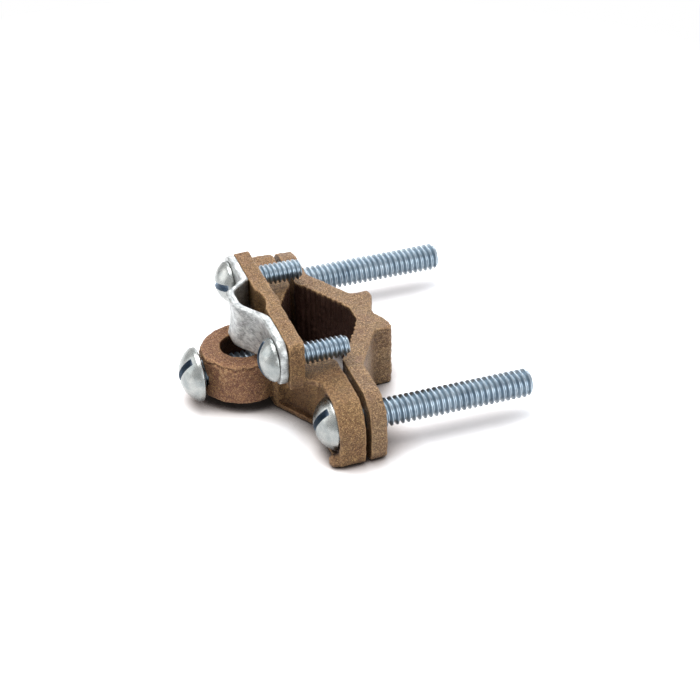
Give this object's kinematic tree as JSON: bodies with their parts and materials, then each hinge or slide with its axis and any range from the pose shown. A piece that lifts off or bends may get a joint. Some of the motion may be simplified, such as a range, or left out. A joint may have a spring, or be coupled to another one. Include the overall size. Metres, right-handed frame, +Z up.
{
  "type": "earth rod clamp",
  "caption": "Cast bronze earth clamp: two toothed vee jaws drawn together on a rod by long screws, with a wire ring, its set screw and a screwed cable strap.",
  "frame": {"origin": "on the axis of the wire ring, in the plane the castings stand on", "axes": "+X along the screws from their heads to their tips, +Y across the clamp to the back screw, +Z up along the rod and the wire"},
  "size_m": [0.0706, 0.0704, 0.0239],
  "materials": {
    "bronze": "sand-cast bronze, stippled and dull",
    "galvanised": "dull galvanised",
    "zinc": "bright zinc plated"
  },
  "bodies": {
    "wire_casting": {"wire_jaw": "bronze"},
    "pipe_casting": {"pipe_jaw": "bronze"},
    "strap": {"cable_strap": "galvanised"},
    "front_jaw_screw": {"jaw_screw_front": "zinc"},
    "back_jaw_screw": {"jaw_screw_back": "zinc"},
    "front_strap_screw": {"strap_screw_front": "zinc"},
    "back_strap_screw": {"strap_screw_back": "zinc"},
    "ring_screw": {"set_screw": "zinc"}
  },
  "joints": [
    {"name": "front_jaw_screw_turn", "type": "hinge", "parent": "wire_casting", "child": "front_jaw_screw", "pos_m": [0.0117, -0.028, 0.0075], "axis": [-1, 0, 0], "range_deg": [-284, 9360]},
    {"name": "back_jaw_screw_turn", "type": "hinge", "parent": "wire_casting", "child": "back_jaw_screw", "pos_m": [0.0117, 0.028, 0.0075], "axis": [-1, 0, 0], "range_deg": [-284, 9360]},
    {"name": "pipe_jaw_slide", "type": "slide", "parent": "wire_casting", "child": "pipe_casting", "axis": [1, 0, 0], "range_m": [-0.00097, 0.033]},
    {"name": "front_strap_screw_slide", "type": "slide", "parent": "wire_casting", "child": "front_strap_screw", "axis": [-1, 0, 0], "range_m": [0, 0.01]},
    {"name": "back_strap_screw_slide", "type": "slide", "parent": "wire_casting", "child": "back_strap_screw", "axis": [-1, 0, 0], "range_m": [0, 0.01]},
    {"name": "strap_slide", "type": "slide", "parent": "wire_casting", "child": "strap", "axis": [-1, 0, 0], "range_m": [0, 0.01]},
    {"name": "set_screw_slide", "type": "slide", "parent": "wire_casting", "child": "ring_screw", "axis": [1, 0, 0], "range_m": [-0.0074, 0.00065]}
  ],
  "couplings": [
    {"joint": "front_jaw_screw_turn", "follows": "pipe_jaw_slide", "rad_per_m": 4947.4},
    {"joint": "back_jaw_screw_turn", "follows": "pipe_jaw_slide", "rad_per_m": 4947.4},
    {"joint": "back_strap_screw_slide", "follows": "front_strap_screw_slide", "ratio": 1},
    {"joint": "strap_slide", "follows": "front_strap_screw_slide", "ratio": 1}
  ]
}
